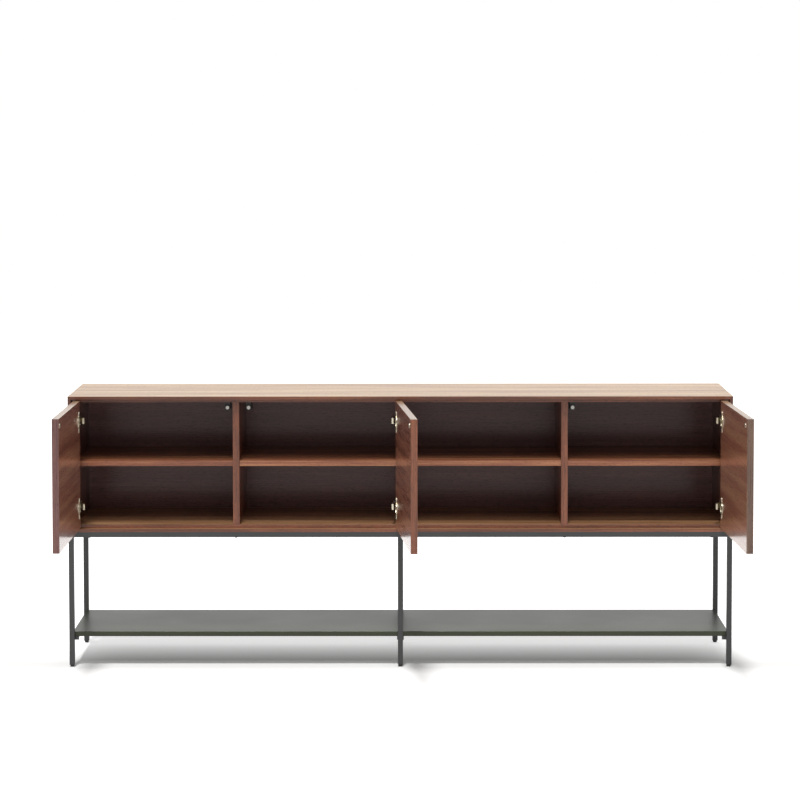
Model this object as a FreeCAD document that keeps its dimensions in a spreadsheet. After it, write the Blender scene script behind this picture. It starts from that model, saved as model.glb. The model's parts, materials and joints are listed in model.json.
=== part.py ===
import FreeCAD, Part

import os
import Sketcher

# A credenza: a mitred veneered carcass with three hinged doors, carried by a frame of square steel
# tube with a folded steel tray near the floor. Millimetres, X to the right, Y to the back, Z up.
# The origin is on the floor, in the middle of the outline that the cabinet has with its doors open.

doc = FreeCAD.newDocument("Credenza")
sheet = doc.addObject("Spreadsheet::Sheet", "Sizes")


# --------------------------------------------------------------------------------------------------
# Sizes: each one is a cell of the sheet, and arithmetic on sizes writes the expression that binds
# --------------------------------------------------------------------------------------------------
class Size:
    """A length or an angle that carries its expression and its present value."""

    def __init__(self, text, number):
        self.text = text
        self.number = number

    def __add__(self, other):
        other = as_size(other)
        return Size(f"({self.text} + {other.text})", self.number + other.number)

    def __sub__(self, other):
        other = as_size(other)
        return Size(f"({self.text} - {other.text})", self.number - other.number)

    def __mul__(self, other):
        other = as_size(other)
        return Size(f"({self.text} * {other.text})", self.number * other.number)

    def __truediv__(self, other):
        other = as_size(other)
        return Size(f"({self.text} / {other.text})", self.number / other.number)

    def __neg__(self):
        return Size(f"(-1 * {self.text})", -self.number)


def as_size(value):
    if isinstance(value, Size):
        return value
    return Size(repr(float(value)), float(value))


ROWS = []


def size(alias, number, note):
    """Writes one driving dimension to the sheet and returns it."""
    ROWS.append(alias)
    row = len(ROWS)
    sheet.set(f"A{row}", note)
    sheet.set(f"B{row}", str(number))
    sheet.setAlias(f"B{row}", alias)
    return Size(f"Sizes.{alias}", float(number))


ZERO = as_size(0)
BAYS = 4

# Carcass
carcass_width = size("carcass_width", 1950, "outside width of the carcass and the frame")
carcass_depth = size("carcass_depth", 390, "depth of the carcass and the frame")
carcass_height = size("carcass_height", 400, "height of the carcass")
frame_height = size("frame_height", 400, "floor to the underside of the carcass")
panel = size("panel", 19, "thickness of the carcass panels and dividers")
front_lip = size("front_lip", 9, "thickness left in front of the rebate that the doors close into")
back_panel_thickness = size("back_panel_thickness", 6, "thickness of the back panel")
back_overlap = size("back_overlap", 10, "overlap of the back panel on the carcass panels")
shelf_thickness = size("shelf_thickness", 16, "thickness of a shelf")
shelf_setback = size("shelf_setback", 5, "shelf front behind the divider fronts")
shelf_play = size("shelf_play", 0.5, "gap at each end of a shelf and behind it")
shelf_drop = size("shelf_drop", 192, "carcass top down to the top face of a shelf")
pin_radius = size("pin_radius", 2.5, "radius of a shelf pin")
pin_seat = size("pin_seat", 8, "length of a shelf pin inside a side panel")
pin_reach = size("pin_reach", 9, "length of a shelf pin under its shelf")
pin_inset = size("pin_inset", 45, "shelf pin centre from the shelf's front or back edge")
fit = size("fit", 0.05, "clearance all round pins, cups and plugs in their holes")

# Doors
door_thickness = size("door_thickness", 19, "thickness of a door")
door_setback = size("door_setback", 1, "door face behind the carcass front when closed")
door_gap = size("door_gap", 2, "gap between a closed door and the dividers")
door_margin = size("door_margin", 4, "gap between a closed door and the carcass lip")
door_meeting = size("door_meeting", 3, "gap between two closed doors that share a divider")
divider_reveal = size("divider_reveal", 0.75, "divider edge that shows beside the closed right door")
left_open_angle = size("left_open_angle", 90.4, "opening angle of the left door at rest")
middle_open_angle = size("middle_open_angle", 95.1, "opening angle of the middle door at rest")
right_open_angle = size("right_open_angle", 92.2, "opening angle of the right door at rest")
pivot_in = size("pivot_in", 0.55, "hinge axis from the closed door's hinge edge, along the door")
pivot_out = size("pivot_out", 3.55, "hinge axis in front of the closed door's face")

# Concealed hinges
hinge_inset = size("hinge_inset", 60, "hinge centre from the door's top or bottom edge")
cup_edge = size("cup_edge", 4, "door edge to the cup")
cup_radius = size("cup_radius", 17.5, "outside radius of the hinge cup")
cup_wall = size("cup_wall", 0.8, "wall of the hinge cup")
cup_depth = size("cup_depth", 12.5, "depth of the hinge cup in the door")
cup_rim = size("cup_rim", 2.4, "width of the rim round the cup's mouth")
flange_length = size("flange_length", 62, "length of the cup's flange, up the door")
flange_width = size("flange_width", 15, "width of the cup's flange")
flange_tip = size("flange_tip", 9, "width of the cup's flange at its two ends")
flange_thickness = size("flange_thickness", 1.2, "thickness of the cup's flange")
arm_height = size("arm_height", 17, "height of the hinge arm, up the door")
arm_sheet = size("arm_sheet", 1.6, "sheet thickness of the hinge arm")
arm_length = size("arm_length", 82, "hinge arm's back end behind the carcass front")
arm_rise = size("arm_rise", 12, "outer face of the arm above the panel, at its back end")
arm_nose = size("arm_nose", 32, "arm's nose from the closed door's hinge edge, along the door")
arm_nose_reach = size("arm_nose_reach", 11.5, "middle of the arm's nose behind the carcass front")
arm_nose_radius = size("arm_nose_radius", 2.6, "radius of the arm's nose")
arm_bend = size("arm_bend", 28, "front bend of the arm behind the carcass front")
arm_crank = size("arm_crank", 20, "length of the slanted stretch of the arm")
nose_pin_radius = size("nose_pin_radius", 1.2, "radius of the pivot pin in the arm's nose")
plate_thickness = size("plate_thickness", 2.5, "thickness of the mounting plate")
plate_length = size("plate_length", 44, "length of the mounting plate, front to back")
plate_front = size("plate_front", 37, "mounting plate's front end behind the carcass front")
plate_height = size("plate_height", 13, "height of the mounting plate under the arm")
plate_wing = size("plate_wing", 48, "height of the mounting plate across its two wings")
plate_wing_width = size("plate_wing_width", 14, "width of the plate's wings")
plate_wing_tip = size("plate_wing_tip", 7, "width of the plate's wings at their ends")

# Push latches
latch_length = size("latch_length", 62, "length of a latch housing")
latch_width = size("latch_width", 16, "width of a latch housing")
latch_drop = size("latch_drop", 15, "latch centre below the top panel")
latch_below = size("latch_below", 8, "latch housing below its centre")
latch_front = size("latch_front", 3.5, "latch housing's front behind the closed door")
plunger_radius = size("plunger_radius", 5.2, "radius of the latch plunger")
plunger_length = size("plunger_length", 34, "length of the latch plunger")
plunger_travel = size("plunger_travel", 8, "travel of the latch plunger")
travel_angle = size("travel_angle", 90, "opening angle of a door that gives its plunger that travel")
strike_radius = size("strike_radius", 7, "radius of the strike disc")
strike_thickness = size("strike_thickness", 1.5, "thickness of the strike disc")
strike_gap = size("strike_gap", 0.3, "gap between the pressed plunger and the strike disc")
left_strike = size("left_strike", 23, "strike centre from the left door's free edge")
middle_strike = size("middle_strike", 36, "strike centre from the middle door's free edge")
right_strike = size("right_strike", 32, "strike centre from the right door's free edge")

# Steel frame, feet and tray
tube = size("tube", 15, "side of the square tube")
tube_wall = size("tube_wall", 1.5, "wall of the square tube")
glide_height = size("glide_height", 8, "height of a foot glide under its leg")
glide_radius = size("glide_radius", 6.3, "radius of a foot glide")
glide_head = size("glide_head", 1.5, "thickness of the glide's square head under the tube's end")
glide_round = size("glide_round", 1.8, "rounding of a glide's bottom edge")
glide_stem = size("glide_stem", 18, "length of the glide's plug inside the leg")
tray_height = size("tray_height", 103, "floor to the tray's top face")
tray_sheet = size("tray_sheet", 1.5, "sheet thickness of the tray")
tray_lip = size("tray_lip", 15, "height of the tray's folded lip")
tray_return = size("tray_return", 14, "width of the flange folded in under the lip")
tray_bend = size("tray_bend", 2.2, "outer radius of the tray's bends")
tray_play = size("tray_play", 0.4, "gap between the tray's lip and the legs")
tray_end_inset = size("tray_end_inset", 10, "tray's end inside the frame's outline")
bracket_width = size("bracket_width", 20, "width of a tray bracket")
bracket_inward = size("bracket_inward", 12, "end bracket's reach beyond its leg, inwards")
bracket_drop = size("bracket_drop", 10, "height of a tray bracket")
bracket_depth = size("bracket_depth", 22, "length of the bracket's shelf under the tray")
bracket_sheet = size("bracket_sheet", 2, "sheet thickness of a tray bracket")

doc.recompute()

# Planes and lines that the pieces share
half_width = carcass_width / 2
bay = (carcass_width - panel) / BAYS
door_height = carcass_height - (front_lip + door_margin) * 2
door_bottom = frame_height + front_lip + door_margin
middle_door_width = bay - door_meeting / 2 + panel / 2
front = (middle_door_width - carcass_depth) / 2
back = front + carcass_depth
shoulder = door_setback + door_thickness + door_gap
carcass_top = frame_height + carcass_height
inner_floor = frame_height + panel
inner_ceiling = carcass_top - panel
back_face = back - back_panel_thickness
shelf_top = carcass_top - shelf_drop
shelf_bottom = shelf_top - shelf_thickness
latch_level = inner_ceiling - latch_drop
tray_top = tray_height
tray_underside = tray_top - tray_lip
leg_x = half_width - tube / 2
tray_front = front + tube + tray_play
tray_back = back - tube - tray_play


# --------------------------------------------------------------------------------------------------
# Ways of making a piece
# --------------------------------------------------------------------------------------------------
def bind(thing, name, value):
    thing.setExpression(name, as_size(value).text)


def put(thing, x=ZERO, y=ZERO, z=ZERO):
    """Places an object with expressions."""
    bind(thing, "Placement.Base.x", x)
    bind(thing, "Placement.Base.y", y)
    bind(thing, "Placement.Base.z", z)
    return thing


def add(kind, name):
    return doc.addObject(kind, name)


def box(name, corner, sides):
    thing = add("Part::Box", name)
    for edge, side in zip(("Length", "Width", "Height"), sides):
        bind(thing, edge, side)
    return put(thing, *corner)


UPRIGHT = FreeCAD.Rotation()
ALONG_X = FreeCAD.Rotation(FreeCAD.Vector(0, 1, 0), 90)
ALONG_Y = FreeCAD.Rotation(FreeCAD.Vector(1, 0, 0), -90)
ALONG_MINUS_Y = FreeCAD.Rotation(FreeCAD.Vector(1, 0, 0), 90)
SMALLEST_CUT = 1


def rod(name, start, radius, length, turn=UPRIGHT):
    thing = add("Part::Cylinder", name)
    bind(thing, "Radius", radius)
    bind(thing, "Height", length)
    thing.Placement.Rotation = turn
    return put(thing, *start)


def fuse(name, pieces):
    thing = add("Part::MultiFuse", name)
    thing.Shapes = pieces
    thing.Refine = True
    return thing


def cut(name, base, tools):
    """Takes the tools away from the base."""
    thing = add("Part::Cut", name)
    thing.Base = base
    thing.Tool = group(name + "_tools", tools)
    return thing


def group(name, pieces):
    """Several separate solids in one object."""
    thing = add("Part::Compound", name)
    thing.Links = pieces
    return thing


def new_body(name):
    return add("PartDesign::Body", name)


def plane_of(body, role):
    return [item for item in body.Origin.OriginFeatures if item.Role == role][0]


def new_sketch(body, name, role, height=ZERO):
    sketch = body.newObject("Sketcher::SketchObject", name)
    sketch.AttachmentSupport = [(plane_of(body, role), "")]
    sketch.MapMode = "FlatFace"
    bind(sketch, "AttachmentOffset.Base.z", height)
    return sketch


def pin_point(sketch, geometry, end, x, y):
    """Fixes a point of the sketch at two expressions."""
    for kind, value in (("DistanceX", as_size(x)), ("DistanceY", as_size(y))):
        index = sketch.addConstraint(
            Sketcher.Constraint(kind, -1, 1, geometry, end, value.number)
        )
        bind(sketch, f"Constraints[{index}]", value)


def polygon(sketch, points):
    """Draws a closed outline through the points."""
    points = [(as_size(x), as_size(y)) for x, y in points]
    spots = [FreeCAD.Vector(x.number, y.number, 0) for x, y in points]
    lines = []
    for start, end in zip(spots, spots[1:] + spots[:1]):
        lines.append(sketch.addGeometry(Part.LineSegment(start, end), False))
    for line, following in zip(lines, lines[1:] + lines[:1]):
        sketch.addConstraint(Sketcher.Constraint("Coincident", line, 2, following, 1))
    for line, (x, y) in zip(lines, points):
        pin_point(sketch, line, 1, x, y)


def circle(sketch, x, y, radius):
    x, y, radius = as_size(x), as_size(y), as_size(radius)
    centre = FreeCAD.Vector(x.number, y.number, 0)
    ring = Part.Circle(centre, FreeCAD.Vector(0, 0, 1), radius.number)
    index = sketch.addGeometry(ring, False)
    pin_point(sketch, index, 3, x, y)
    rule = sketch.addConstraint(Sketcher.Constraint("Radius", index, radius.number))
    bind(sketch, f"Constraints[{rule}]", radius)


def extrude(body, name, sketch, length, reverse=False, both=False):
    pad = body.newObject("PartDesign::Pad", name)
    pad.Profile = sketch
    bind(pad, "Length", length)
    pad.Reversed = reverse
    pad.Midplane = both
    return pad


def pocket(body, name, sketch, length, reverse=False, both=False):
    """Cuts a profile from the body and makes sure that it takes something away."""
    doc.recompute()
    before = body.Tip.Shape.Volume
    hole = body.newObject("PartDesign::Pocket", name)
    hole.Profile = sketch
    bind(hole, "Length", length)
    hole.Reversed = reverse
    hole.Midplane = both
    doc.recompute()
    if before - hole.Shape.Volume < SMALLEST_CUT:
        raise RuntimeError(f"{name} cuts nothing")
    return hole


def winged(width, tip_width, length):
    """The outline of a strip along the second axis whose two ends taper at 45 degrees."""
    side = width / 2
    tip = tip_width / 2
    end = length / 2
    taper = end - (side - tip)
    return [(-tip, -end), (tip, -end), (side, -taper), (side, taper),
            (tip, end), (-tip, end), (-side, taper), (-side, -taper)]


pieces = []


def keep(thing, label):
    """Marks an object as a finished piece and names it."""
    thing.Label = label
    pieces.append(thing)
    return thing


# --------------------------------------------------------------------------------------------------
# Carcass: four mitred panels, rebated in front for the doors and behind for the back panel
# --------------------------------------------------------------------------------------------------
def mitred_panel(name, outline, front_ledge, back_ledge):
    """A panel with mitred ends. The ledges are rectangles that the rebates take away, seen from
    the front, as (left, bottom, right, top)."""
    body = new_body(name + "_body")
    sketch = new_sketch(body, name + "_outline", "XZ_Plane", -front)
    polygon(sketch, outline)
    extrude(body, name + "_pad", sketch, carcass_depth, reverse=True)
    for where, rectangle, start, depth in (
        ("front", front_ledge, front, shoulder),
        ("back", back_ledge, back_face, back_panel_thickness),
    ):
        left, bottom, right, top = rectangle
        ledge = new_sketch(body, f"{name}_{where}_ledge", "XZ_Plane", -start)
        polygon(ledge, [(left, bottom), (right, bottom), (right, top), (left, top)])
        pocket(body, f"{name}_{where}_rebate", ledge, depth, reverse=False)
    return body


inner_half = half_width - panel
lip_half = half_width - front_lip
lip_floor = frame_height + front_lip
lip_ceiling = carcass_top - front_lip
rear_half = half_width - (panel - back_overlap)
rear_floor = frame_height + (panel - back_overlap)
rear_ceiling = carcass_top - (panel - back_overlap)

top_panel = mitred_panel(
    "top_panel",
    [(-half_width, carcass_top), (half_width, carcass_top),
     (inner_half, inner_ceiling), (-inner_half, inner_ceiling)],
    (-half_width, inner_ceiling, half_width, lip_ceiling),
    (-half_width, inner_ceiling, half_width, rear_ceiling),
)
keep(top_panel, "top_panel")

bottom_panel = mitred_panel(
    "bottom_panel",
    [(-half_width, frame_height), (half_width, frame_height),
     (inner_half, inner_floor), (-inner_half, inner_floor)],
    (-half_width, lip_floor, half_width, inner_floor),
    (-half_width, rear_floor, half_width, inner_floor),
)
keep(bottom_panel, "bottom_panel")

side_bodies = {}
for side, sign in (("left", -1), ("right", 1)):
    outer = half_width * sign
    inner = inner_half * sign
    side_bodies[side] = mitred_panel(
        side + "_side_panel",
        [(outer, frame_height), (outer, carcass_top), (inner, inner_ceiling), (inner, inner_floor)],
        (inner, frame_height, lip_half * sign, carcass_top),
        (inner, frame_height, rear_half * sign, carcass_top),
    )

back_panel = box(
    "back_panel",
    (-rear_half, back_face, rear_floor),
    (rear_half * 2, back_panel_thickness, rear_ceiling - rear_floor),
)
keep(back_panel, "back_panel")

# --------------------------------------------------------------------------------------------------
# Uprights and shelves: one shelf in each bay, on two pins at each end. A pin in a divider goes right
# through it and carries the shelves on both sides, a pin in a side panel sits in a blind hole
# --------------------------------------------------------------------------------------------------
wall_x = [bay * (index - BAYS / 2) for index in range(BAYS + 1)]
shelf_front = front + shoulder + shelf_setback
shelf_depth = back_face - shelf_play - shelf_front
pin_rows = (shelf_front + pin_inset, shelf_front + shelf_depth - pin_inset)
pin_z = shelf_bottom - pin_radius

pins = []
pin_holes = []
for index, x in enumerate(wall_x):
    start = x - panel / 2 - pin_reach
    end = x + panel / 2 + pin_reach
    if index == 0:
        start = x + panel / 2 - pin_seat
    if index == BAYS:
        end = x - panel / 2 + pin_seat
    for row, y in enumerate(pin_rows):
        pins.append(rod(f"pin_{index}_{row}", (start, y, pin_z), pin_radius, end - start, ALONG_X))
    pin_holes.append([
        rod(f"pin_hole_{index}_{row}", (start, y, pin_z), pin_radius + fit, end - start, ALONG_X)
        for row, y in enumerate(pin_rows)
    ])
keep(group("shelf_pins", pins), "shelf_pins")

keep(cut("left_side_drilled", side_bodies["left"], pin_holes[0]), "left_side_panel")
keep(cut("right_side_drilled", side_bodies["right"], pin_holes[BAYS]), "right_side_panel")

divider_front = front + shoulder
for index, name in enumerate(("left_divider", "centre_divider", "right_divider"), start=1):
    blank = box(name + "_blank", (wall_x[index] - panel / 2, divider_front, inner_floor),
                (panel, back_face - divider_front, inner_ceiling - inner_floor))
    keep(cut(name, blank, pin_holes[index]), name)

for index, name in enumerate(("left_shelf", "left_middle_shelf", "right_middle_shelf",
                              "right_shelf")):
    shelf = box(
        name,
        (wall_x[index] + panel / 2 + shelf_play, shelf_front, shelf_bottom),
        (bay - panel - shelf_play * 2, shelf_depth, shelf_thickness),
    )
    keep(shelf, name)


# --------------------------------------------------------------------------------------------------
# Doors and their hinges, each laid out in its door's own frame: the frame's origin is on the hinge
# axis, t runs from the hinge edge to the free edge and w from the outer face into the cabinet
# --------------------------------------------------------------------------------------------------
class Doorway:
    """Where one door hangs. sign is +1 where the door runs to the right from its hinge edge."""

    def __init__(self, side, sign, edge, width, angle, strike, face):
        self.side = side
        self.sign = sign
        self.edge = edge
        self.width = width
        self.angle = angle
        self.strike = strike
        self.face = face

    def x(self, along):
        """The closed door's coordinate along its width, as an X of the cabinet."""
        return self.edge + as_size(along) * self.sign

    def t(self, along):
        """The same coordinate in the door's own frame."""
        return (as_size(along) - pivot_in) * self.sign

    def w(self, depth):
        return as_size(depth) + pivot_out

    def hang(self, thing):
        """Turns a piece of the closed door about the hinge axis to where it rests."""
        thing.Placement.Rotation = FreeCAD.Rotation(FreeCAD.Vector(0, 0, 1), 0)
        put(thing, self.x(pivot_in), front + door_setback - pivot_out, door_bottom)
        bind(thing, "Placement.Rotation.Angle", self.angle * (-self.sign))
        return thing


left_edge = lip_half - door_margin
doorways = (
    Doorway("left", 1, -left_edge, left_edge - bay - door_meeting / 2, left_open_angle,
            left_strike, -inner_half),
    Doorway("middle", -1, panel / 2, middle_door_width, middle_open_angle,
            middle_strike, -panel / 2),
    Doorway("right", -1, left_edge, left_edge - bay + panel / 2 - divider_reveal,
            right_open_angle, right_strike, inner_half),
)
hinge_levels = (hinge_inset, door_height - hinge_inset)
cup_centre = cup_edge + cup_radius


def hinge_cup(name, way, level):
    """A drawn cup with its flange, seated in the door from its inner face."""
    body = new_body(name)
    strip = new_sketch(body, name + "_flange_outline", "XZ_Plane")
    polygon(strip, winged(flange_width, flange_tip, flange_length))
    extrude(body, name + "_flange", strip, flange_thickness, reverse=True)
    shell = new_sketch(body, name + "_shell_outline", "XZ_Plane")
    circle(shell, ZERO, ZERO, cup_radius)
    extrude(body, name + "_shell", shell, cup_depth, reverse=False)
    rim = new_sketch(body, name + "_rim_outline", "XZ_Plane")
    circle(rim, ZERO, ZERO, cup_radius + cup_rim)
    extrude(body, name + "_rim", rim, flange_thickness, reverse=True)
    mouth = new_sketch(body, name + "_mouth_outline", "XZ_Plane", -flange_thickness)
    circle(mouth, ZERO, ZERO, cup_radius - cup_wall)
    pocket(body, name + "_mouth", mouth, cup_depth + flange_thickness - cup_wall, reverse=True)
    put(body, way.t(cup_centre), way.w(door_thickness), level)
    return body


for way in doorways:
    side = way.side
    inner_face = way.w(door_thickness)
    slab_start = way.t(way.width) if way.sign < 0 else way.t(ZERO)
    slab = box(side + "_door_slab", (slab_start, way.w(ZERO), ZERO),
               (way.width, door_thickness, door_height))
    holes = []
    cups = []
    for number, level in enumerate(hinge_levels):
        centre = (way.t(cup_centre), inner_face, level)
        holes.append(rod(f"{side}_cup_hole_{number}", centre, cup_radius + fit,
                         cup_depth + fit, ALONG_MINUS_Y))
        cups.append(hinge_cup(f"{side}_cup_{number}", way, level))
    keep(way.hang(cut(side + "_door", slab, holes)), side + "_door")
    keep(way.hang(group(side + "_hinge_cups", cups)), side + "_hinge_cups")
    disc = rod(side + "_strike_disc",
               (way.t(way.width - way.strike), inner_face, latch_level - door_bottom),
               strike_radius, strike_thickness, ALONG_Y)
    keep(way.hang(group(side + "_hung_strike", [disc])), side + "_strike_plate")


# --------------------------------------------------------------------------------------------------
# Hinge arms on their mounting plates: channels of bent sheet, open towards the upright, cranked
# out to a nose that reaches into the closed door's cup
# --------------------------------------------------------------------------------------------------
def arm_outline(way, inset, stretch):
    """The arm seen from above. inset moves its outer faces in, stretch lengthens its ends."""
    base = way.face
    toward = way.sign
    plate_top = base + plate_thickness * toward
    rise = base + (arm_rise - inset) * toward
    nose_out = way.x(arm_nose + arm_nose_radius - inset)
    nose_in = way.x(arm_nose - arm_nose_radius) - stretch * toward
    nose_front = front + arm_nose_reach - arm_nose_radius + inset
    bend = front + arm_bend
    crank = bend + arm_crank
    end = front + arm_length + stretch
    low = plate_top - stretch * toward
    return [(nose_out, nose_front), (nose_out, bend), (rise, crank), (rise, end),
            (low, end), (low, crank), (nose_in, bend), (nose_in, nose_front)]


for way in doorways:
    side = way.side
    arms = []
    plates = []
    for number, level in enumerate(hinge_levels):
        height = door_bottom + level
        name = f"{side}_arm_{number}"
        arm = new_body(name)
        outline = new_sketch(arm, name + "_outline", "XY_Plane")
        polygon(outline, arm_outline(way, ZERO, ZERO))
        extrude(arm, name + "_pad", outline, arm_height, both=True)
        channel = new_sketch(arm, name + "_channel_outline", "XY_Plane")
        polygon(channel, arm_outline(way, arm_sheet, arm_sheet))
        pocket(arm, name + "_channel", channel, arm_height - arm_sheet * 2, both=True)
        put(arm, ZERO, ZERO, height)
        nose_pin = rod(name + "_pin", (way.x(arm_nose), front + arm_nose_reach,
                                       height - arm_height / 2),
                       nose_pin_radius, arm_height)
        arms.append(fuse(name + "_with_pin", [arm, nose_pin]))

        name = f"{side}_plate_{number}"
        plate = new_body(name)
        wings = new_sketch(plate, name + "_wings_outline", "YZ_Plane")
        polygon(wings, winged(plate_wing_width, plate_wing_tip, plate_wing))
        extrude(plate, name + "_wings", wings, plate_thickness, reverse=way.sign < 0)
        strap = new_sketch(plate, name + "_strap_outline", "YZ_Plane")
        polygon(strap, [(-(plate_length / 2), -(plate_height / 2)),
                        (plate_length / 2, -(plate_height / 2)),
                        (plate_length / 2, plate_height / 2),
                        (-(plate_length / 2), plate_height / 2)])
        extrude(plate, name + "_strap", strap, plate_thickness, reverse=way.sign < 0)
        put(plate, way.face, front + plate_front + plate_length / 2, height)
        plates.append(plate)
    keep(group(side + "_hinge_arms", arms), side + "_hinge_arms")
    keep(group(side + "_hinge_plates", plates), side + "_hinge_plates")

# --------------------------------------------------------------------------------------------------
# Push latches under the top panel: a housing bored for its sprung plunger
# --------------------------------------------------------------------------------------------------
for way in doorways:
    side = way.side
    x = way.x(way.width - way.strike)
    house_front = front + door_setback + door_thickness + latch_front
    house = box(side + "_latch_block",
                (x - latch_width / 2, house_front, latch_level - latch_below),
                (latch_width, latch_length, latch_below + latch_drop))
    pressed = front + door_setback + door_thickness + strike_thickness + strike_gap
    extended = pressed - plunger_travel * way.angle / travel_angle
    bore_depth = plunger_length + pressed - house_front + fit
    bore = rod(side + "_latch_bore", (x, house_front, latch_level), plunger_radius + fit,
               bore_depth, ALONG_Y)
    keep(cut(side + "_latch_housing", house, [bore]), side + "_latch_housing")
    stem = rod(side + "_latch_plunger", (x, extended, latch_level), plunger_radius,
               plunger_length, ALONG_Y)
    keep(stem, side + "_latch_plunger")

# --------------------------------------------------------------------------------------------------
# Steel frame: square tube, welded, flush with the carcass all round
# --------------------------------------------------------------------------------------------------
inner_tube = tube - tube_wall * 2
rail_bottom = frame_height - tube


def square_tube(name, corner, length, axis):
    """A square tube along an axis (0, 1 or 2), open at its ends."""
    sides = [tube, tube, tube]
    sides[axis] = length
    hollow_corner = [corner[i] + (ZERO if i == axis else tube_wall) for i in range(3)]
    hollow_sides = [inner_tube, inner_tube, inner_tube]
    hollow_sides[axis] = length
    outside = box(name + "_outside", corner, sides)
    return outside, [box(name + "_hollow", hollow_corner, hollow_sides)]


rail_length = carcass_width - tube * 2
for name, y in (("front_rail", front), ("back_rail", back - tube)):
    outside, hollow = square_tube(name, (-(rail_length / 2), y, rail_bottom), rail_length, 0)
    keep(cut(name, outside, hollow), name)

cross_length = carcass_depth - tube * 2
for name, x in (("left_cross_rail", -leg_x), ("middle_cross_rail", ZERO),
                ("right_cross_rail", leg_x)):
    outside, hollow = square_tube(name, (x - tube / 2, front + tube, rail_bottom), cross_length, 1)
    keep(cut(name, outside, hollow), name)

# Legs stand on round glides whose square plugs sit in the tube; the end legs reach the carcass, the
# middle ones stop under the rails
plug = inner_tube - fit * 2
glides = []
for column, x, top in (("left", -leg_x, frame_height), ("middle", ZERO, rail_bottom),
                       ("right", leg_x, frame_height)):
    for row, y in (("front", front), ("back", back - tube)):
        name = f"{column}_{row}_leg"
        outside, hollow = square_tube(name, (x - tube / 2, y, glide_height), top - glide_height, 2)
        keep(cut(name, outside, hollow), name)
        name = f"{column}_{row}_glide"
        foot = new_body(name + "_foot")
        profile = new_sketch(foot, name + "_profile", "XZ_Plane")
        head_bottom = glide_height - glide_head
        polygon(profile, [(ZERO, ZERO), (glide_radius - glide_round, ZERO),
                          (glide_radius, glide_round), (glide_radius, head_bottom),
                          (ZERO, head_bottom)])
        turned = foot.newObject("PartDesign::Revolution", name + "_turned")
        turned.Profile = profile
        turned.ReferenceAxis = (profile, ["V_Axis"])
        turned.Angle = 360
        put(foot, x, y + tube / 2, ZERO)
        head = box(name + "_head", (x - tube / 2, y, head_bottom), (tube, tube, glide_head))
        stem = box(name + "_stem", (x - plug / 2, y + tube / 2 - plug / 2, glide_height),
                   (plug, plug, glide_stem))
        glides.append(fuse(name, [foot, head, stem]))
keep(group("foot_glides", glides), "foot_glides")

# --------------------------------------------------------------------------------------------------
# Tray: folded sheet between the front and back legs, carried by brackets that are welded to them
# --------------------------------------------------------------------------------------------------
tray_length = carcass_width - tray_end_inset * 2
tray_body = new_body("tray_body")
section = new_sketch(tray_body, "tray_section", "YZ_Plane")
flange_top = tray_underside + tray_sheet
polygon(section, [
    (tray_front, tray_top), (tray_back, tray_top),
    (tray_back, tray_underside), (tray_back - tray_return, tray_underside),
    (tray_back - tray_return, flange_top), (tray_back - tray_sheet, flange_top),
    (tray_back - tray_sheet, tray_top - tray_sheet), (tray_front + tray_sheet, tray_top - tray_sheet),
    (tray_front + tray_sheet, flange_top), (tray_front + tray_return, flange_top),
    (tray_front + tray_return, tray_underside), (tray_front, tray_underside),
])
folded = extrude(tray_body, "tray_folded", section, tray_length, both=True)
doc.recompute()


def is_outer_bend(edge):
    """The four long outer corners of the folded section."""
    middle = edge.BoundBox.Center
    if edge.Length < tray_length.number - 1:
        return False
    at_face = min(abs(middle.y - tray_front.number), abs(middle.y - tray_back.number)) < fit.number
    at_level = min(abs(middle.z - tray_top.number), abs(middle.z - tray_underside.number)) < fit.number
    return at_face and at_level


bends = [f"Edge{i + 1}" for i, edge in enumerate(folded.Shape.Edges) if is_outer_bend(edge)]
rounded = tray_body.newObject("PartDesign::Fillet", "tray_bends")
rounded.Base = (folded, bends)
bind(rounded, "Radius", tray_bend)

end_plates = []
for name, x in (("left", -(tray_length / 2)), ("right", tray_length / 2 - tray_sheet)):
    end_plates.append(box(f"tray_{name}_end",
                          (x, tray_front + tray_sheet, flange_top),
                          (tray_sheet, tray_back - tray_front - tray_sheet * 2,
                           tray_top - tray_sheet - flange_top)))
keep(fuse("lower_tray", [tray_body] + end_plates), "lower_tray")

brackets = []
end_bracket = half_width - tube - bracket_inward + bracket_width / 2
for column, x in (("left", -end_bracket), ("middle", ZERO), ("right", end_bracket)):
    for row, face, into in (("front", front + tube, 1), ("back", back - tube, -1)):
        name = f"{column}_{row}_bracket"
        low_y = face if into > 0 else face - bracket_sheet
        shelf_y = face if into > 0 else face - bracket_depth
        leaf = box(name + "_leaf", (x - bracket_width / 2, low_y, tray_underside - bracket_drop),
                   (bracket_width, bracket_sheet, bracket_drop))
        ledge = box(name + "_ledge", (x - bracket_width / 2, shelf_y, tray_underside - bracket_sheet),
                    (bracket_width, bracket_depth, bracket_sheet))
        brackets.append(fuse(name, [leaf, ledge]))
keep(group("tray_brackets", brackets), "tray_brackets")

# --------------------------------------------------------------------------------------------------
# Check every object, then write one file for each piece
# --------------------------------------------------------------------------------------------------
doc.recompute()
for thing in doc.Objects:
    if "Invalid" in thing.State or "Error" in thing.State:
        raise RuntimeError(f"{thing.Name} failed: {thing.State}")

for piece in pieces:
    if piece.Shape.isNull() or not piece.Shape.isValid():
        raise RuntimeError(f"{piece.Label} has no valid shape")
    if not piece.Shape.Solids:
        raise RuntimeError(f"{piece.Label} holds no solid")

os.makedirs("parts", exist_ok=True)
for piece in pieces:
    piece.Shape.exportStep(f"parts/{piece.Label}.step")

print(len(pieces), "pieces written")
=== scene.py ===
import json
import math

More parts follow.
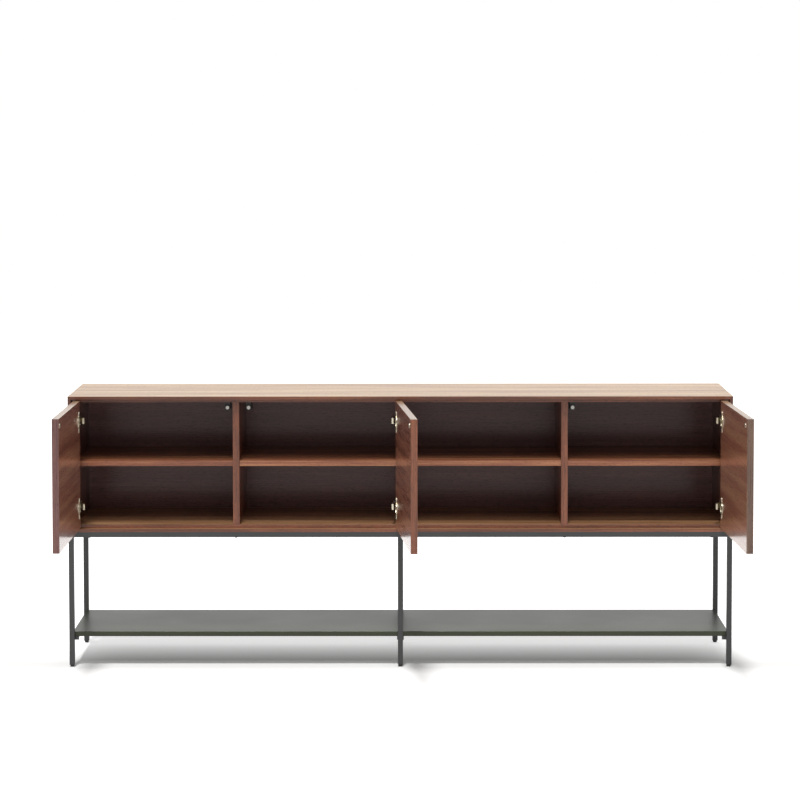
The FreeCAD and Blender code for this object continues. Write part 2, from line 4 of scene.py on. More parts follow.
import bpy
import numpy as np
from mathutils import Euler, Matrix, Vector


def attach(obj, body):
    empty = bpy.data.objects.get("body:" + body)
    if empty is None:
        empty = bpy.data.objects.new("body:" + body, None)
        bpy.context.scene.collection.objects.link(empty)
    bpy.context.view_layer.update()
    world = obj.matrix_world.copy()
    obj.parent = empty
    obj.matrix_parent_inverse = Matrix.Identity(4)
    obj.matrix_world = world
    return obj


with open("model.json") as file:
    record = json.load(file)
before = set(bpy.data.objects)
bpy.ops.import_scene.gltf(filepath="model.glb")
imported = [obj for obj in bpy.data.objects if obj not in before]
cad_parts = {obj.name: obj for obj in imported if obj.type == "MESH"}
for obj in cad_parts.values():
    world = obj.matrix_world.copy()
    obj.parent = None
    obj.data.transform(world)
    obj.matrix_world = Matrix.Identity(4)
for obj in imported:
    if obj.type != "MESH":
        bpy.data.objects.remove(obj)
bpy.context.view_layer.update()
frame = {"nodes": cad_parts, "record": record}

# --------------------------------------------------------------------------------------------------
# Camera. A long lens well in front of the cabinet, a little above its top, looking slightly down.
# The picture is moved up the sensor so that the uprights stay almost parallel.
# --------------------------------------------------------------------------------------------------
CAMERA_PLACE = (0.0228, -8.1939, 1.6511)
CAMERA_PITCH = math.radians(-3.535)
CAMERA_YAW = math.radians(0.157)
CAMERA_ROLL = math.radians(0.053)
CAMERA_LENS = 127.24       # millimetres
CAMERA_SENSOR = 36.0       # millimetres across
CAMERA_SHIFT = -0.15       # of the picture's width
CAMERA_SIGHT = 100.0       # metres that it sees

camera_data = bpy.data.cameras.new("camera")
camera_data.sensor_width = CAMERA_SENSOR
camera_data.lens = CAMERA_LENS
camera_data.shift_y = CAMERA_SHIFT
camera_data.clip_end = CAMERA_SIGHT
camera = bpy.data.objects.new("camera", camera_data)
camera.location = CAMERA_PLACE
camera.rotation_euler = Euler((math.pi / 2 + CAMERA_PITCH, CAMERA_ROLL, CAMERA_YAW), "XYZ")
bpy.context.scene.collection.objects.link(camera)
bpy.context.scene.camera = camera


# --------------------------------------------------------------------------------------------------
# Walnut veneer. Sliced veneer on board, open-grained under a thin satin lacquer. It gives the eye
# long straight figure, fine fibres along the grain and short dark pores that catch no light.
# --------------------------------------------------------------------------------------------------
def linear(hex_colour):
    """An sRGB hex colour as linear RGBA: each channel goes through the sRGB curve."""
    channels = [int(hex_colour[i:i + 2], 16) / 255 for i in (1, 3, 5)]
    curve = [c / 12.92 if c <= 0.04045 else ((c + 0.055) / 1.055) ** 2.4 for c in channels]
    return (*curve, 1.0)


def add_node(material, kind, settings=None, links=None):
    """Adds one node with its settings, and links named inputs from (node, output) pairs.
    A setting whose name starts with a capital is an input's value, any other an attribute."""
    node = material.node_tree.nodes.new(kind)
    for name, value in (settings or {}).items():
        if isinstance(name, int) or name[0].isupper():
            node.inputs[name].default_value = value
        else:
            setattr(node, name, value)
    for name, (source, output) in (links or {}).items():
        material.node_tree.links.new(source.outputs[output], node.inputs[name])
    return node


def new_material(name):
    """An empty node material with its output. Returns the material and the output node."""
    material = bpy.data.materials.new(name)
    material.use_nodes = True
    material.node_tree.nodes.clear()
    output = add_node(material, "ShaderNodeOutputMaterial")
    return material, output


def ramp(material, source, output, stops):
    """A colour ramp over the stops, given as (position, linear colour) pairs."""
    node = add_node(material, "ShaderNodeValToRGB", links={"Fac": (source, output)})
    elements = node.color_ramp.elements
    while len(elements) < len(stops):
        elements.new(0.5)
    for element, (position, colour) in zip(elements, stops):
        element.position = position
        element.color = colour
    return node


def paint(node_name, material):
    """Gives a CAD piece its finish."""
    for slot in frame["nodes"][node_name].material_slots:
        slot.material = material


WALNUT = ("#573021", "#885036", "#b37b54")  # dark, middle and light wood of one leaf
WALNUT_IN_SHADE = ("#4a2e2c", "#724a45", "#966b62")
# The doors' tones are lighter than the carcass's, painted light in part: they lift the doors' inner
# faces, which face sideways when the doors hang open.
WALNUT_DOORS = ("#62392d", "#9a5e49", "#bc8667")
WALNUT_EDGING = ("#4f3a30", "#735848", "#93745f")
WALNUT_PAINTED_TOP_LIGHT = ("#a67b54", "#c89f6e", "#e0c194")  # painted light: paler tones for faces turned up, for the light from above
WALNUT_PORE = "#3a1f14"
FIGURE_LENGTH = 0.9        # metres that one dark or light stretch runs along the grain
FIGURE_WIDTH = 0.035       # metres across it
FIBRE_LENGTH = 0.12
FIBRE_WIDTH = 0.0022       # coarser than the real fibres, so that they show
FIBRE_SHARE = 0.38         # of the leaf's tone, the rest is figure
PORE_LENGTH = 0.014
PORE_WIDTH = 0.0009
PORE_BEGINS = 0.60         # noise at which a pore starts
PORE_OPEN = 0.68           # and at which it is fully open
PORE_DARKNESS = 0.75
TONE_SPREAD = 0.16         # noise between the middle tone and the dark or light one
TOP_LIGHT_STOPS = (0.4, 0.5, 0.6)
GRAIN_RELIEF = 0.0002      # metres
LEAF_STEP = (1.7, 0.9, 0.4)  # metres in the log from one leaf's cut to the next


def walnut(name, turn, seed, shade=0.0, contrast=1.0, painted_top_light=0.0, lacquer=0.5, tones=WALNUT):
    """Walnut veneer whose grain runs along the axis that turn brings onto local X. Colour is a ramp
    over stretched noise, darkened by pores. seed picks the leaf, shade darkens it, and lacquer is
    how full the clear coat lies on it. Faces turned up are mixed towards paler tones by the share
    of painted top light, which is painted light: it stands in for the light that falls from above."""
    material, output = new_material(name)
    place = add_node(material, "ShaderNodeTexCoord")
    grain = add_node(material, "ShaderNodeMapping",
                     {"Rotation": turn, "Location": [seed * step for step in LEAF_STEP]},
                     {"Vector": (place, "Object")})

    def streaks(length, width, detail, rough):
        stretch = add_node(material, "ShaderNodeMapping",
                           {"Scale": (1 / length, 1 / width, 1 / width)},
                           {"Vector": (grain, "Vector")})
        return add_node(material, "ShaderNodeTexNoise",
                        {"Scale": 1.0, "Detail": detail, "Roughness": rough},
                        {"Vector": (stretch, "Vector")})

    figure = streaks(FIGURE_LENGTH, FIGURE_WIDTH, 5.0, 0.62)
    fibre = streaks(FIBRE_LENGTH, FIBRE_WIDTH, 3.0, 0.6)
    pore = streaks(PORE_LENGTH, PORE_WIDTH, 1.0, 0.5)

    tone = add_node(material, "ShaderNodeMix", {"data_type": "FLOAT", "Factor": FIBRE_SHARE},
                    {2: (figure, "Fac"), 3: (fibre, "Fac")})
    spread = TONE_SPREAD / contrast
    wood = ramp(material, tone, 0, [(0.5 + shade - spread, linear(tones[0])),
                                    (0.5 + shade, linear(tones[1])),
                                    (0.5 + shade + spread, linear(tones[2]))])
    # Painted light: faces turned up are mixed towards the paler tones, as much as the share given,
    # to stand in for the light that falls on them from above.
    facing = add_node(material, "ShaderNodeSeparateXYZ", links={0: (place, "Normal")})
    top_light_tones = ramp(material, tone, 0, [(stop, linear(colour)) for stop, colour
                                        in zip(TOP_LIGHT_STOPS, WALNUT_PAINTED_TOP_LIGHT)])
    top_light_share = add_node(material, "ShaderNodeMath", {"operation": "MULTIPLY", 1: painted_top_light},
                      {0: (facing, "Z")})
    leaf = add_node(material, "ShaderNodeMix", {"data_type": "RGBA"},
                    {0: (top_light_share, 0), 6: (wood, "Color"), 7: (top_light_tones, "Color")})
    open_pore = add_node(material, "ShaderNodeMapRange",
                         {"From Min": PORE_BEGINS, "From Max": PORE_OPEN,
                          "To Max": PORE_DARKNESS},
                         {"Value": (pore, "Fac")})
    colour = add_node(material, "ShaderNodeMix",
                      {"data_type": "RGBA", 7: linear(WALNUT_PORE)},
                      {0: (open_pore, 0), 6: (leaf, 2)})
    rough = add_node(material, "ShaderNodeMapRange", {"To Min": 0.4, "To Max": 0.55},
                     {"Value": (fibre, "Fac")})
    height = add_node(material, "ShaderNodeMath", {"operation": "SUBTRACT"},
                      {0: (fibre, "Fac"), 1: (open_pore, 0)})
    bump = add_node(material, "ShaderNodeBump", {"Strength": 0.12, "Distance": GRAIN_RELIEF},
                    {"Height": (height, 0)})
    shader = add_node(material, "ShaderNodeBsdfPrincipled",
                      {"IOR": 1.5, "Specular IOR Level": 0.25, "Coat Weight": lacquer,
                       "Coat Roughness": 0.17, "Coat IOR": 1.5},
                      {"Base Color": (colour, 2), "Roughness": (rough, 0),
                       "Normal": (bump, "Normal")})
    material.node_tree.links.new(shader.outputs[0], output.inputs["Surface"])
    return material


ALONG_X = (0.0, 0.0, 0.0)
ALONG_Z = (0.0, math.pi / 2, 0.0)
# The top panel's upper face and the floor of the bays get paler tones where they face up: painted
# light from above.
paint("top_panel", walnut("walnut_top_panel", ALONG_X, 0, shade=0.11, painted_top_light=0.72))
paint("bottom_panel", walnut("walnut_bottom_panel", ALONG_X, 1, shade=0.09, painted_top_light=0.4))
paint("back_panel", walnut("walnut_back_panel", ALONG_X, 2, contrast=0.4, lacquer=0.35,
                           tones=WALNUT_IN_SHADE))
for number, name in enumerate(("left_shelf", "left_middle_shelf", "right_middle_shelf",
                               "right_shelf")):
    paint(name, walnut("walnut_" + name, ALONG_X, number + 3, shade=-0.04))
# The side panels' leaf is set darkest (0.16) as painted shade, for the shadow that the open doors
# cast on their front edges.
for number, (name, shade) in enumerate((("left_side_panel", 0.16), ("right_side_panel", 0.16),
                                        ("left_divider", 0.08), ("centre_divider", 0.06),
                                        ("right_divider", 0.06))):
    paint(name, walnut("walnut_" + name, ALONG_Z, number + 10, shade))

# --------------------------------------------------------------------------------------------------
# Doors. The same veneer on 19 mm board, its grain lying along the door's width, so it runs on from
# one closed door to the next. Each hangs open on its concealed hinges.
# --------------------------------------------------------------------------------------------------
# The right leaf's lighter shade is painted light, for the light from the left front that falls on
# its inner face.
DOOR_LEAVES = {                 # hinge edge, width, shade of the leaf, tones of its end bands
    "left": (-0.962, 0.47775, -0.03, WALNUT_IN_SHADE),
    "middle": (0.0095, 0.49075, 0.01, WALNUT),
    "right": (0.962, 0.488, -0.09, WALNUT_EDGING),
}
DOOR_OUTER_FACE = 0.051375
DOOR_THICKNESS = 0.019
DOOR_LEVELS = (0.413, 0.787)
BAND_STAND = 0.0003             # metres that the band stands proud of the board
BAND_EASE = 0.0006              # its eased arris
joints = {joint["name"]: joint for joint in frame["record"]["behaviour"]["joints"]}


def hung(side, closed, pivot):
    """Points or directions of the closed door, turned about the hinge axis to where it rests."""
    hinge = joints[side + "_door_hinge"]
    turn = -math.radians(hinge["range_deg"][1]) * hinge["axis"][2]
    x, y, z = (np.asarray(closed) - pivot).T
    turned = (x * math.cos(turn) - y * math.sin(turn), x * math.sin(turn) + y * math.cos(turn), z)
    return np.stack(turned, axis=-1) + pivot


def wrapped(rows, columns):
    """Quads of a grid of points that closes on itself both ways."""
    row, column = np.meshgrid(np.arange(rows), np.arange(columns), indexing="ij")
    after = (column + 1) % columns
    above = (row + 1) % rows * columns
    row = row * columns
    return np.stack((row + column, row + after, above + after, above + column), -1).reshape(-1, 4)


def new_piece(name, points, faces, body, slot, *finishes):
    """Puts arrays of points and faces into a mesh that rides on a body."""
    mesh = bpy.data.meshes.new(name)
    mesh.from_pydata(points.reshape(-1, 3).tolist(), [], faces)
    for finish in finishes:
        mesh.materials.append(finish)
    piece = bpy.data.objects.new(name, mesh)
    bpy.context.scene.collection.objects.link(piece)
    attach(piece, body)
    return piece


def edge_band(side, hinge_edge, free_edge):
    """Veneer band round a door: the door's outline, grown outwards by the band's height at each
    depth, over a profile that goes up, across the board's thickness, down and back inside it."""
    low, high = sorted((hinge_edge, free_edge))
    depth = np.array([0, 0, BAND_EASE, DOOR_THICKNESS - BAND_EASE, DOOR_THICKNESS, DOOR_THICKNESS])
    stand = np.array([-1, 0, 1, 1, 0, -1]) * BAND_STAND
    depth, stand = depth[:, None], stand[:, None]
    x = np.array([low, high, high, low]) + stand * (-1, 1, 1, -1)
    z = np.array(DOOR_LEVELS)[[0, 0, 1, 1]] + stand * (-1, -1, 1, 1)
    y = np.broadcast_to(DOOR_OUTER_FACE + depth, x.shape)
    pivot = np.array(joints[side + "_door_hinge"]["pos_m"])
    return hung(side, np.stack((x, y, z), axis=-1).reshape(-1, 3), pivot)


for number, (side, (hinge_edge, width, shade, tones)) in enumerate(DOOR_LEAVES.items()):
    hinge = joints[side + "_door_hinge"]
    grain_turn = (0.0, 0.0, math.radians(hinge["range_deg"][1]) * hinge["axis"][2])
    leaf = walnut(f"walnut_{side}_door", grain_turn, number + 20, shade, lacquer=0.9,
                  tones=WALNUT_DOORS)
    paint(side + "_door", leaf)
    free_edge = hinge_edge + width * hinge["axis"][2]
    faces = wrapped(6, 4)       # six points of the profile at each of four corners
    # The top band's upward face gets paler tones: painted light and painted reflection on the
    # doors' top edges.
    band = new_piece(side + "_door_edge_band", edge_band(side, hinge_edge, free_edge),
                     faces.tolist(), side + "_door_leaf", "walnut_veneer",
                     walnut(f"walnut_{side}_end_band", ALONG_Z, number + 30, 0.03, tones=tones),
                     walnut(f"walnut_{side}_top_band", grain_turn, number + 40, shade, painted_top_light=0.4,
                            lacquer=0.8, tones=WALNUT_EDGING))
    # Round the outline the quads run bottom, end, top, end.
    band.data.polygons.foreach_set("material_index", np.tile([1, 0], len(faces) // 2))

# --------------------------------------------------------------------------------------------------
# Powder-coated steel. Square tube, sheet and brackets under a dark grey baked coat. It gives the
# eye a faint orange peel and a broad soft gloss that mirrors the room at a low angle.
# --------------------------------------------------------------------------------------------------
ORANGE_PEEL = 0.0012       # metres from one swell of the coat to the next
COAT_RELIEF = 0.0001


def powder_coat(name, shade, rough_low, rough_high, gloss_tint="#ffffff"):
    """Baked powder: an even colour with cloudy roughness and a fine bump."""
    material, output = new_material(name)
    place = add_node(material, "ShaderNodeTexCoord")
    cloud = add_node(material, "ShaderNodeTexNoise", {"Scale": 6.0, "Detail": 3.0},
                     {"Vector": (place, "Object")})
    grain = add_node(material, "ShaderNodeTexNoise",
                     {"Scale": 1 / ORANGE_PEEL, "Detail": 2.0}, {"Vector": (place, "Object")})
    tint = ramp(material, cloud, "Fac", [(0.3, linear(shade[0])), (0.7, linear(shade[1]))])
    rough = add_node(material, "ShaderNodeMapRange", {"To Min": rough_low, "To Max": rough_high},
                     {"Value": (cloud, "Fac")})
    bump = add_node(material, "ShaderNodeBump", {"Strength": 0.15, "Distance": COAT_RELIEF},
                    {"Height": (grain, "Fac")})
    shader = add_node(material, "ShaderNodeBsdfPrincipled",
                      {"IOR": 1.5, "Specular Tint": linear(gloss_tint)},
                      {"Base Color": (tint, "Color"), "Roughness": (rough, 0),
                       "Normal": (bump, "Normal")})
    material.node_tree.links.new(shader.outputs[0], output.inputs["Surface"])
    return material


steel_coat = powder_coat("powder_coated_steel", ("#2e2f2f", "#373838"), 0.32, 0.44)
tray_coat = powder_coat("powder_coated_tray", ("#262a20", "#2e3327"), 0.31, 0.41, "#eef2d8")
for name in frame["nodes"]:
    if name.endswith(("_rail", "_leg", "_brackets")):
        paint(name, steel_coat)
paint("lower_tray", tray_coat)


# --------------------------------------------------------------------------------------------------
# Hinges, strikes and shelf pins. Pressed steel under bright nickel, warm and slightly hazy, with
# fine drawing lines from the press.
# --------------------------------------------------------------------------------------------------
DRAWING_LINES = (900.0, 900.0, 60.0)  # to the metre, fine across and long up the piece


def plated(name, shade, rough_low, rough_high):
    """Plated steel: a metal whose roughness and tint vary in fine stretched lines."""
    material, output = new_material(name)
    place = add_node(material, "ShaderNodeTexCoord")
    stretch = add_node(material, "ShaderNodeMapping", {"Scale": DRAWING_LINES},
                       {"Vector": (place, "Object")})
    lines = add_node(material, "ShaderNodeTexNoise", {"Scale": 1.0, "Detail": 3.0},
                     {"Vector": (stretch, "Vector")})
    tint = ramp(material, lines, "Fac", [(0.3, linear(shade[0])), (0.7, linear(shade[1]))])
    rough = add_node(material, "ShaderNodeMapRange", {"To Min": rough_low, "To Max": rough_high},
                     {"Value": (lines, "Fac")})
    shader = add_node(material, "ShaderNodeBsdfPrincipled", {"Metallic": 1.0},
                      {"Base Color": (tint, "Color"), "Roughness": (rough, 0)})
    material.node_tree.links.new(shader.outputs[0], output.inputs["Surface"])
    return material


nickel = plated("nickel_plated_steel", ("#cfc6ae", "#e2dac4"), 0.24, 0.36)
for name in frame["nodes"]:
    if name.endswith(("_hinge_cups", "_hinge_arms", "_hinge_plates", "_pins")):
        paint(name, nickel)
strike_zinc = plated("dull_zinc_strikes", ("#aba290", "#c2b9a6"), 0.36, 0.48)
for side in DOOR_LEAVES:
    paint(side + "_strike_plate", strike_zinc)

# --------------------------------------------------------------------------------------------------
# Screws. Pan-head screws of zinc-plated steel hold the hinges, adjust their arms and fix the back
# panel, and blackened ones hold the tray and the steel frame from below.
# --------------------------------------------------------------------------------------------------
HEAD_RINGS = 9
HEAD_SIDES = 32
HEAD_SKIRT = 0.2           # of the height, sunk below the seat
HEAD_FALL = 0.9
OUTER_RING, INNER_RING = 0.97, 0.08  # of the radius
GROOVE_WIDTH = 0.13        # of the radius
GROOVE_DEPTH = 0.62        # of the height
GROOVE_END = 0.6           # of the radius
GROOVE_FADE = 30           # how steeply it ends
GOLDEN_ANGLE = math.pi * (3 - math.sqrt(5))


def screw_heads(name, centres, outward, radius, height, finish, body, slot):
    """Pan heads round their own axes: height over the seat falls from the middle as the root of
    one minus the fall times the radius to the fourth, less two crossed grooves whose depth is a
    bell curve of the distance to their lines and fades out at their end. Each head is turned by
    the golden angle times its number."""
    rings = np.linspace(OUTER_RING, INNER_RING, HEAD_RINGS)
    reach = np.concatenate(([1.0, 1.0], rings))[:, None]
    turn = np.arange(HEAD_SIDES) * 2 * math.pi / HEAD_SIDES
    u, v = reach * np.cos(turn), reach * np.sin(turn)
    cross = (np.exp(-(np.minimum(abs(u), abs(v)) / GROOVE_WIDTH) ** 2)
             / (1 + np.exp((reach - GROOVE_END) * GROOVE_FADE)))
    dome = height * (np.sqrt(1 - HEAD_FALL * reach ** 4) - GROOVE_DEPTH * cross)
    dome[0] = -HEAD_SKIRT * height
    local = np.stack((u * radius, v * radius, dome), axis=-1).reshape(-1, 3)
    local = np.vstack(([0, 0, -HEAD_SKIRT * height], local, [0, 0, (1 - GROOVE_DEPTH) * height]))

    axis = np.asarray(outward, dtype=float)
    across = np.cross(axis, (0.0, 0.0, 1.0) if abs(axis[2]) < 0.5 else (1.0, 0.0, 0.0))
    across /= np.linalg.norm(across)
    beside = np.cross(axis, across)
    spin = np.arange(len(centres))[:, None, None] * GOLDEN_ANGLE
    first = np.cos(spin) * across + np.sin(spin) * beside
    second = np.cross(axis, first)
    points = (np.asarray(centres)[:, None] + local[:, 0, None] * first
              + local[:, 1, None] * second + local[:, 2, None] * axis)

    rows = HEAD_RINGS + 2
    quads = wrapped(rows, HEAD_SIDES)[:(rows - 1) * HEAD_SIDES] + 1
    here = np.arange(HEAD_SIDES)
    after = (here + 1) % HEAD_SIDES
    top = (rows - 1) * HEAD_SIDES + 1
    caps = np.vstack((np.stack((here * 0, after + 1, here + 1), axis=-1),
                      np.stack((here * 0 + len(local) - 1, top + here, top + after), axis=-1)))
    shift = np.arange(len(centres))[:, None, None] * len(local)
    faces = (shift + quads).reshape(-1, 4).tolist() + (shift + caps).reshape(-1, 3).tolist()
    piece = new_piece(name, points, faces, body, slot, finish)
    piece.data.polygons.foreach_set("use_smooth", np.ones(len(faces), dtype=bool))


zinc = plated("bright_zinc_screws", ("#bfc3c4", "#dadddd"), 0.2, 0.32)
blackened = plated("blackened_steel_screws", ("#2b2b2c", "#3a3a3b"), 0.3, 0.42)
CARCASS_FRONT = 0.050375
CARCASS_BACK = 0.440375
HEADS = {                       # radius and height of each kind of head
    "plate": (0.0033, 0.0016),
    "arm": (0.003, 0.0012),
    "cup": (0.0033, 0.0005),    # low, because the closed door leaves little room
    "tray": (0.0042, 0.0026),
    "frame": (0.0045, 0.0024),
    "back": (0.0026, 0.0006),
}

HINGE_LEVELS = np.array([0.473, 0.727])
UPRIGHT_FACES = {"left": (-0.956, 1), "middle": (-0.0095, -1), "right": (0.956, -1)}
PLATE_THICKNESS = 0.0025
PLATE_SCREW_IN = 0.059          # metres behind the carcass front
PLATE_SCREW_RISE = 0.016        # above and below the hinge's level
ARM_STAND = 0.012               # of the arm's outer face from the upright
ARM_SCREWS_IN = (0.056, 0.073)
CUP_CENTRE = 0.0215             # from the door's hinge edge
CUP_SCREW_RISE = 0.026
CUP_FLANGE = 0.0012
for side, (face, sign) in UPRIGHT_FACES.items():
    levels = np.concatenate((HINGE_LEVELS - PLATE_SCREW_RISE, HINGE_LEVELS + PLATE_SCREW_RISE))
    centres = [(face + PLATE_THICKNESS * sign, CARCASS_FRONT + PLATE_SCREW_IN, z) for z in levels]
    screw_heads(side + "_plate_screws", centres, (sign, 0, 0), *HEADS["plate"], zinc,
                "cabinet", "nickel_steel")
    centres = [(face + ARM_STAND * sign, CARCASS_FRONT + y, z) for z in HINGE_LEVELS
               for y in ARM_SCREWS_IN]
    screw_heads(side + "_arm_screws", centres, (sign, 0, 0), *HEADS["arm"], zinc,
                "cabinet", "nickel_steel")
    cup_x = DOOR_LEAVES[side][0] + CUP_CENTRE * joints[side + "_door_hinge"]["axis"][2]
    levels = np.concatenate((HINGE_LEVELS - CUP_SCREW_RISE, HINGE_LEVELS + CUP_SCREW_RISE))
    flange_face = DOOR_OUTER_FACE + DOOR_THICKNESS + CUP_FLANGE
    pivot = np.array(joints[side + "_door_hinge"]["pos_m"])
    centres = hung(side, [(cup_x, flange_face, z) for z in levels], pivot)
    screw_heads(side + "_cup_screws", centres, hung(side, (0, 1, 0), np.zeros(3)),
                *HEADS["cup"], zinc, side + "_door_leaf", "nickel_steel")

BRACKET_COLUMNS = (-0.958, 0, 0.958)
BRACKET_UNDERSIDE = 0.086
BRACKET_SCREW_IN = 0.024        # from the carcass front or back
centres = [(x, y, BRACKET_UNDERSIDE) for x in BRACKET_COLUMNS
           for y in (CARCASS_FRONT + BRACKET_SCREW_IN, CARCASS_BACK - BRACKET_SCREW_IN)]
screw_heads("tray_screws", centres, (0, 0, -1), *HEADS["tray"], blackened, "cabinet",
            "frame_paint")

FRAME_SCREW_COLUMNS = (-0.915, -0.48275, 0.48275, 0.915)
RAIL_UNDERSIDE = 0.385
RAIL_MIDDLE = 0.0075            # from the carcass front or back
centres = [(x, y, RAIL_UNDERSIDE) for x in FRAME_SCREW_COLUMNS
           for y in (CARCASS_FRONT + RAIL_MIDDLE, CARCASS_BACK - RAIL_MIDDLE)]
screw_heads("frame_screws", centres, (0, 0, -1), *HEADS["frame"], blackened, "cabinet",
            "frame_paint")

BACK_EDGE_COLUMNS = (-0.9, -0.7, -0.5, -0.3, -0.1, 0.1, 0.3, 0.5, 0.7, 0.9)
BACK_EDGE_LEVELS = (0.414, 0.786)
UPRIGHT_COLUMNS = (-0.961, -0.48275, 0, 0.48275, 0.961)
UPRIGHT_LEVELS = (0.5, 0.6, 0.7)
centres = ([(x, CARCASS_BACK, z) for x in BACK_EDGE_COLUMNS for z in BACK_EDGE_LEVELS]
           + [(x, CARCASS_BACK, z) for x in UPRIGHT_COLUMNS for z in UPRIGHT_LEVELS])
screw_heads("back_screws", centres, (0, 1, 0), *HEADS["back"], zinc, "cabinet", "nickel_steel")


# --------------------------------------------------------------------------------------------------
# Latches and glides. Moulded plastic: black housings with a fine spark-eroded texture, a pale
# glossy tip that the door pushes, and dark feet.
# --------------------------------------------------------------------------------------------------
MOULD_RELIEF = 0.0001      # metres


def moulded(name, shade, rough, texture):
    """Moulded plastic: one colour, a little mottling, and a bump from the mould's texture, whose
    grains are texture metres apart."""
    material, output = new_material(name)
    place = add_node(material, "ShaderNodeTexCoord")
    grit = add_node(material, "ShaderNodeTexNoise", {"Scale": 1 / texture, "Detail": 2.0},
                    {"Vector": (place, "Object")})
    tint = ramp(material, grit, "Fac", [(0.25, linear(shade[0])), (0.75, linear(shade[1]))])
    bump = add_node(material, "ShaderNodeBump", {"Strength": 0.2, "Distance": MOULD_RELIEF},
                    {"Height": (grit, "Fac")})
    shader = add_node(material, "ShaderNodeBsdfPrincipled", {"IOR": 1.49, "Roughness": rough},
                      {"Base Color": (tint, "Color"), "Normal": (bump, "Normal")})
    material.node_tree.links.new(shader.outputs[0], output.inputs["Surface"])
    return material


housing_black = moulded("moulded_black_acetal", ("#141414", "#1d1c1c"), 0.5, 0.0008)
tip_white = moulded("moulded_white_acetal", ("#b4b1aa", "#c2bfb8"), 0.32, 0.002)
glide_black = moulded("moulded_glide", ("#202020", "#2a2a29"), 0.45, 0.001)
for side in DOOR_LEAVES:
    paint(side + "_latch_housing", housing_black)
    paint(side + "_latch_plunger", tip_white)
paint("foot_glides", glide_black)

COLLAR_SIDES = 40
COLLAR_INNER = 0.0054
COLLAR_OUTER = 0.0078
COLLAR_FRONT = 0.0724
COLLAR_LENGTH = 0.0018
# Shares of the length and of the way from inner to outer radius, from the back round the front.
COLLAR_PROFILE = np.array([(1, 0), (0.25, 0), (0, 0.3), (0, 0.8), (0.2, 1), (1, 1)])
LATCH_LEVEL = 0.766
LATCH_COLUMNS = {"left": -0.50725, "middle": -0.44525, "right": 0.506}


def collar(latch_x):
    """Rounded ring round a plunger: a profile of depth and radius, turned round its axis."""
    deep, out = COLLAR_PROFILE.T[..., None]
    deep = COLLAR_FRONT + COLLAR_LENGTH * deep
    out = COLLAR_INNER + (COLLAR_OUTER - COLLAR_INNER) * out
    angle = np.arange(COLLAR_SIDES) * 2 * math.pi / COLLAR_SIDES
    deep = np.broadcast_to(deep, (len(COLLAR_PROFILE), COLLAR_SIDES))
    return np.stack((latch_x + out * np.cos(angle), deep, LATCH_LEVEL + out * np.sin(angle)),
                    axis=-1)


for side, latch_x in LATCH_COLUMNS.items():
    faces = wrapped(len(COLLAR_PROFILE), COLLAR_SIDES).tolist()
    new_piece(side + "_latch_collar", collar(latch_x), faces, "cabinet", "black_plastic",
              housing_black)

# --------------------------------------------------------------------------------------------------
# Floor and backdrop. A pale seamless sweep, whiter to the camera, to gloss and to glass than its
# paint, that takes the object's shadow. How much whiter changes along Y, which is painted light.
# --------------------------------------------------------------------------------------------------
FLOOR_REACH = 14.0
WHITENING_FRONT = -0.3     # metres along Y where the sweep's whitening starts and ends its change
WHITENING_BACK = 0.7
floor_mesh = bpy.data.meshes.new("floor")
floor_mesh.from_pydata([(-FLOOR_REACH, -FLOOR_REACH, 0), (FLOOR_REACH, -FLOOR_REACH, 0),
                        (FLOOR_REACH, FLOOR_REACH, 0), (-FLOOR_REACH, FLOOR_REACH, 0)],
                       [], [(0, 1, 2, 3)])
floor = bpy.data.objects.new("floor", floor_mesh)
bpy.context.scene.collection.objects.link(floor)
floor_paint, floor_output = new_material("white_sweep")
sweep = add_node(floor_paint, "ShaderNodeBsdfDiffuse", {"Color": linear("#eaeae9")})
spot = add_node(floor_paint, "ShaderNodeTexCoord")
depth = add_node(floor_paint, "ShaderNodeSeparateXYZ", links={0: (spot, "Object")})
across = add_node(floor_paint, "ShaderNodeMapRange",
                  {"From Min": WHITENING_FRONT, "From Max": WHITENING_BACK},
                  {"Value": (depth, "Y")})
# How much whiter than its paint the sweep shows, changing along Y as painted light: least just
# under the front of the cabinet, so that the shadow there stays deep, more towards the back, which
# lightens the back of the tray's shadow, and more in front, which fades the doors' shadows there.
painted_light_stops = [(place, (value, value, value, 1.0))
        for place, value in ((0.0, 0.5), (0.24, 0.42), (0.35, 0.05), (0.4, 0.04), (0.7, 0.55))]
painted_floor_light = ramp(floor_paint, across, 0, painted_light_stops)
seen_ray = add_node(floor_paint, "ShaderNodeLightPath")
gloss_or_eye = add_node(floor_paint, "ShaderNodeMath", {"operation": "MAXIMUM"},
                        {0: (seen_ray, "Is Camera Ray"), 1: (seen_ray, "Is Glossy Ray")})
seen_whiter = add_node(floor_paint, "ShaderNodeMath", {"operation": "MAXIMUM"},
                       {0: (gloss_or_eye, 0), 1: (seen_ray, "Is Transmission Ray")})
shown = add_node(floor_paint, "ShaderNodeMath", {"operation": "MULTIPLY"},
                 {0: (seen_whiter, 0), 1: (painted_floor_light, "Color")})
glow = add_node(floor_paint, "ShaderNodeEmission", links={"Strength": (shown, 0)})
sum_of_both = add_node(floor_paint, "ShaderNodeAddShader", links={0: (sweep, 0), 1: (glow, 0)})
floor_paint.node_tree.links.new(sum_of_both.outputs[0], floor_output.inputs["Surface"])
floor_mesh.materials.append(floor_paint)

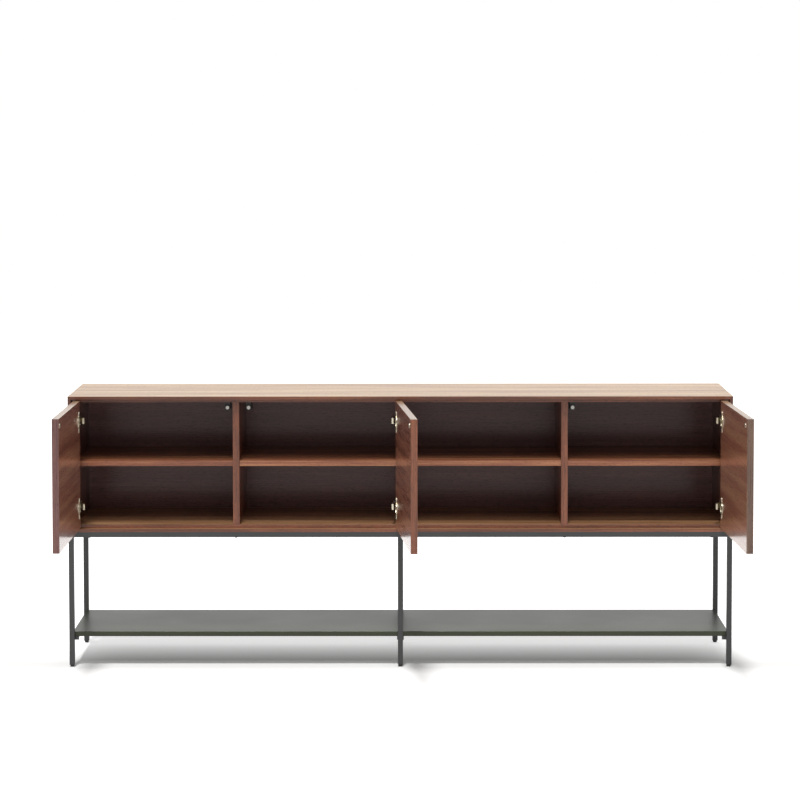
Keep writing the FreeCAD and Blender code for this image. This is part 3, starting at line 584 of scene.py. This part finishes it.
# --------------------------------------------------------------------------------------------------
# Light. A key lamp high in front, whose edge falls a hand's breadth into the open bays, a broader
# one lower in front, and an even room whose far side is a white backdrop to the camera, to gloss
# and to glass.
# --------------------------------------------------------------------------------------------------
LAMPS = {                  # name: strength, elevation, turn from straight in front, softness
    "key": (2.3, 67, 8, 7),
    "front": (0.6, 50, 0, 14),
}
ROOM_STRENGTH = 0.42
BACKDROP_EDGE = -0.1       # how far forward the white backdrop reaches, as a direction's Y
BACKDROP_BLUR = 0.2

for lamp_name, (lamp_strength, elevation, turn, softness) in LAMPS.items():
    lamp_data = bpy.data.lights.new(lamp_name, "SUN")
    lamp_data.energy = lamp_strength
    lamp_data.angle = math.radians(softness)
    lamp = bpy.data.objects.new(lamp_name, lamp_data)
    level = math.cos(math.radians(elevation))
    shine = Vector((level * math.sin(math.radians(turn)), level * math.cos(math.radians(turn)),
                    -math.sin(math.radians(elevation))))
    lamp.rotation_euler = shine.to_track_quat("-Z", "Y").to_euler()
    bpy.context.scene.collection.objects.link(lamp)

world = bpy.data.worlds.new("room")
world.use_nodes = True
world.node_tree.nodes.clear()
bpy.context.scene.world = world
world_output = add_node(world, "ShaderNodeOutputWorld")
way = add_node(world, "ShaderNodeTexCoord")
along = add_node(world, "ShaderNodeSeparateXYZ", links={0: (way, "Generated")})
backdrop = add_node(world, "ShaderNodeMapRange",
                    {"From Min": BACKDROP_EDGE - BACKDROP_BLUR,
                     "From Max": BACKDROP_EDGE + BACKDROP_BLUR},
                    {"Value": (along, "Y")})
seen = add_node(world, "ShaderNodeLightPath")
gloss_or_glass = add_node(world, "ShaderNodeMath", {"operation": "MAXIMUM"},
                          {0: (seen, "Is Glossy Ray"), 1: (seen, "Is Transmission Ray")})
mirrored = add_node(world, "ShaderNodeMath", {"operation": "MULTIPLY"},
                    {0: (gloss_or_glass, 0), 1: (backdrop, 0)})
white = add_node(world, "ShaderNodeMath", {"operation": "MAXIMUM"},
                 {0: (seen, "Is Camera Ray"), 1: (mirrored, 0)})
strength = add_node(world, "ShaderNodeMapRange", {"To Min": ROOM_STRENGTH, "To Max": 1.0},
                    {"Value": (white, 0)})
room = add_node(world, "ShaderNodeBackground", {"Color": (1.0, 1.0, 1.0, 1.0)},
                {"Strength": (strength, 0)})
world.node_tree.links.new(room.outputs[0], world_output.inputs["Surface"])

bpy.context.scene.view_settings.view_transform = "Standard"
